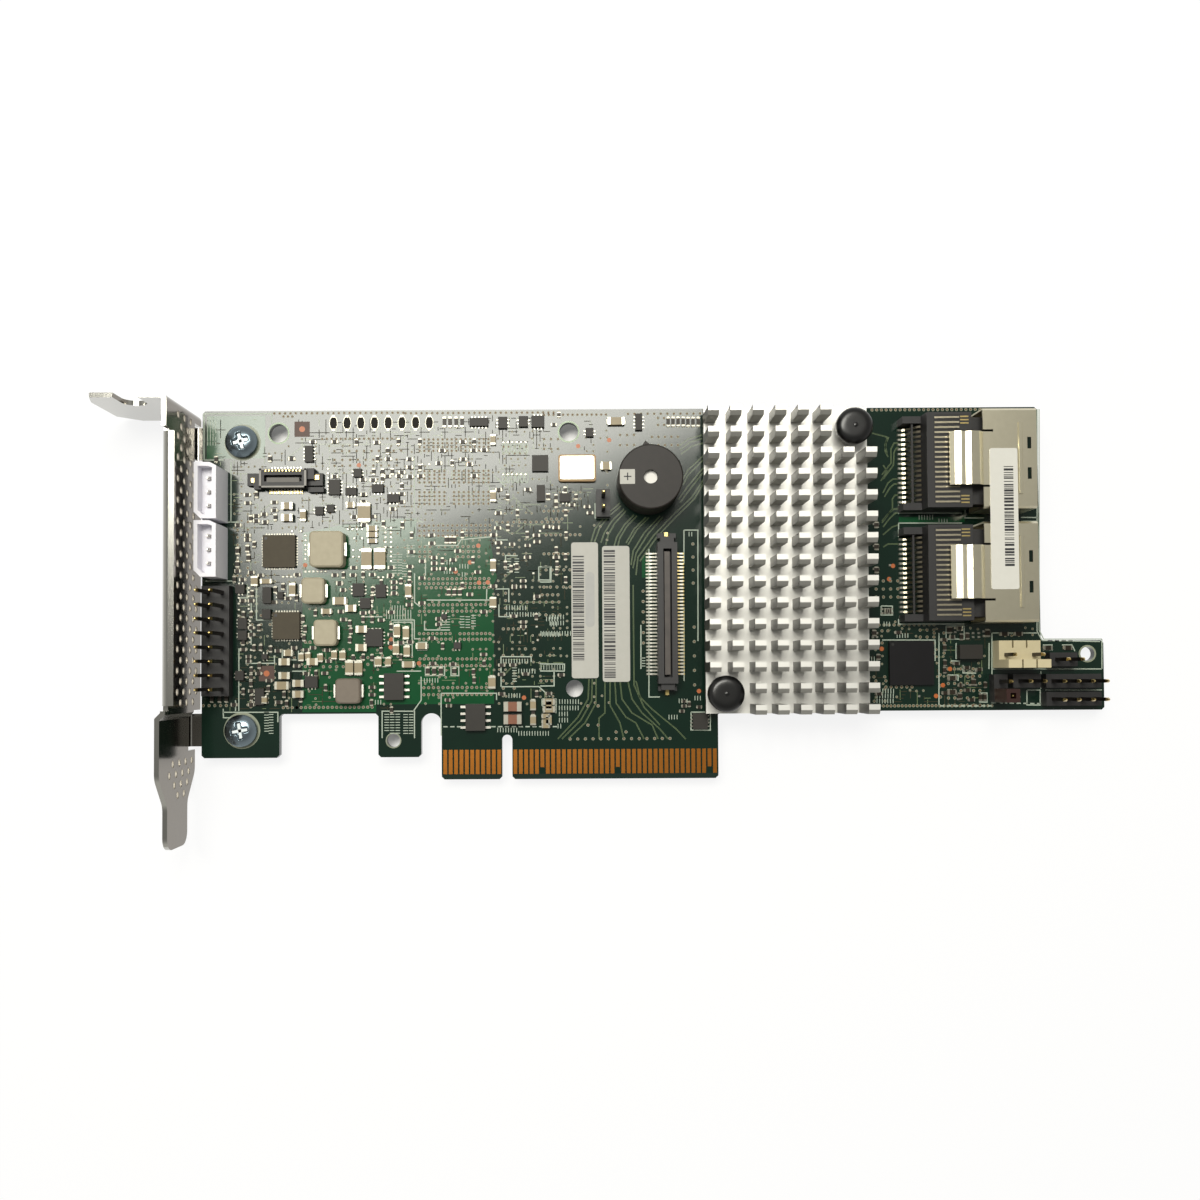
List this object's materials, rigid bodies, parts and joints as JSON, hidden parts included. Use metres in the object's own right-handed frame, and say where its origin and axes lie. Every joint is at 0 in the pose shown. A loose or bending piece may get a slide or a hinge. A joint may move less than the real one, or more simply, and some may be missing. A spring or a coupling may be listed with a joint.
{
  "type": "raid controller card",
  "caption": "Low-profile storage controller card: green board on a perforated metal bracket, with a pin-fin heatsink, two internal storage ports and a gold card edge.",
  "frame": {"origin": "centre line of the card edge's key notch, on the plane of the card edge's tip, at the middle of the board's thickness", "axes": "+X along the board away from the bracket, +Y from the card edge to the board's top edge, +Z out of the component side"},
  "size_m": [0.184, 0.0805, 0.0184],
  "materials": {
    "green_board": "glossy solder mask over glass laminate",
    "gold_contacts": "thin gold plating",
    "nickel_steel": "bright nickel plated sheet steel",
    "zinc_screws": "bright zinc plating",
    "package_substrate": "moulded package",
    "thermal_film": "soft grey pad",
    "plain_aluminium": "extruded and saw cut, bare",
    "black_nylon": "smooth moulded nylon",
    "black_moulding": "moulded glass filled plastic",
    "tinned_contacts": "matt tin plating",
    "cage_steel": "nickel plated sheet",
    "label_paper": "plain white sticker",
    "white_nylon": "natural white moulding",
    "beige_nylon": "natural beige moulding",
    "red_brown_cap": "moulded shorting cap",
    "sounder_black": "moulded case with a fine grain",
    "ceramic_base": "fired ceramic",
    "plated_lid": "plated lid",
    "ferrite_tan": "pressed powder core",
    "ferrite_dark": "pressed powder core",
    "chip_epoxy": "moulded epoxy",
    "brown_ceramic": "fired ceramic with tinned ends",
    "tan_ceramic": "fired ceramic with tinned ends"
  },
  "bodies": {
    "root": {"circuit_board": "green_board", "edge_contacts": "gold_contacts", "mounting_bracket": "nickel_steel", "bracket_screw_upper": "zinc_screws", "bracket_screw_lower": "zinc_screws", "raid_processor": "package_substrate", "thermal_pad": "thermal_film", "heatsink": "plain_aluminium", "push_pin_upper": "black_nylon", "push_pin_lower": "black_nylon", "port_housing_upper": "black_moulding", "port_housing_lower": "black_moulding", "port_cage_upper": "cage_steel", "port_cage_lower": "cage_steel", "port_contacts_upper": "tinned_contacts", "port_contacts_lower": "tinned_contacts", "port_label": "label_paper", "debug_header": "black_moulding", "debug_header_pins": "gold_contacts", "fan_header_upper": "white_nylon", "fan_header_upper_pins": "tinned_contacts", "fan_header_lower": "white_nylon", "fan_header_lower_pins": "tinned_contacts", "led_header_upper": "black_moulding", "led_header_lower": "black_moulding", "led_header_pair": "black_moulding", "option_header": "black_moulding", "corner_header": "black_moulding", "mode_header": "black_moulding", "header_pins": "gold_contacts", "jumper_cap": "red_brown_cap", "lock_header": "beige_nylon", "lock_header_pins": "gold_contacts", "mezzanine_socket": "black_moulding", "mezzanine_contacts": "tinned_contacts", "mini_socket": "black_moulding", "mini_socket_contacts": "tinned_contacts", "buzzer": "sounder_black", "buzzer_pins": "tinned_contacts", "oscillator_base": "ceramic_base", "oscillator_lid": "plated_lid", "power_inductor_large": "ferrite_tan", "power_inductor_upper": "ferrite_tan", "power_inductor_lower": "ferrite_tan", "filter_inductor": "ferrite_dark", "inductor_terminals": "tinned_contacts", "regulator_chip_upper": "chip_epoxy", "regulator_chip_lower": "chip_epoxy", "logic_chips": "chip_epoxy", "small_outline_chips": "chip_epoxy", "small_outline_leads": "tinned_contacts", "flash_chip": "chip_epoxy", "surge_diode": "chip_epoxy", "brown_capacitors": "brown_ceramic", "tan_capacitors": "tan_ceramic", "output_capacitors": "tan_ceramic", "memory_chips": "chip_epoxy", "narrow_label": "label_paper", "wide_label": "label_paper"}
  },
  "joints": []
}
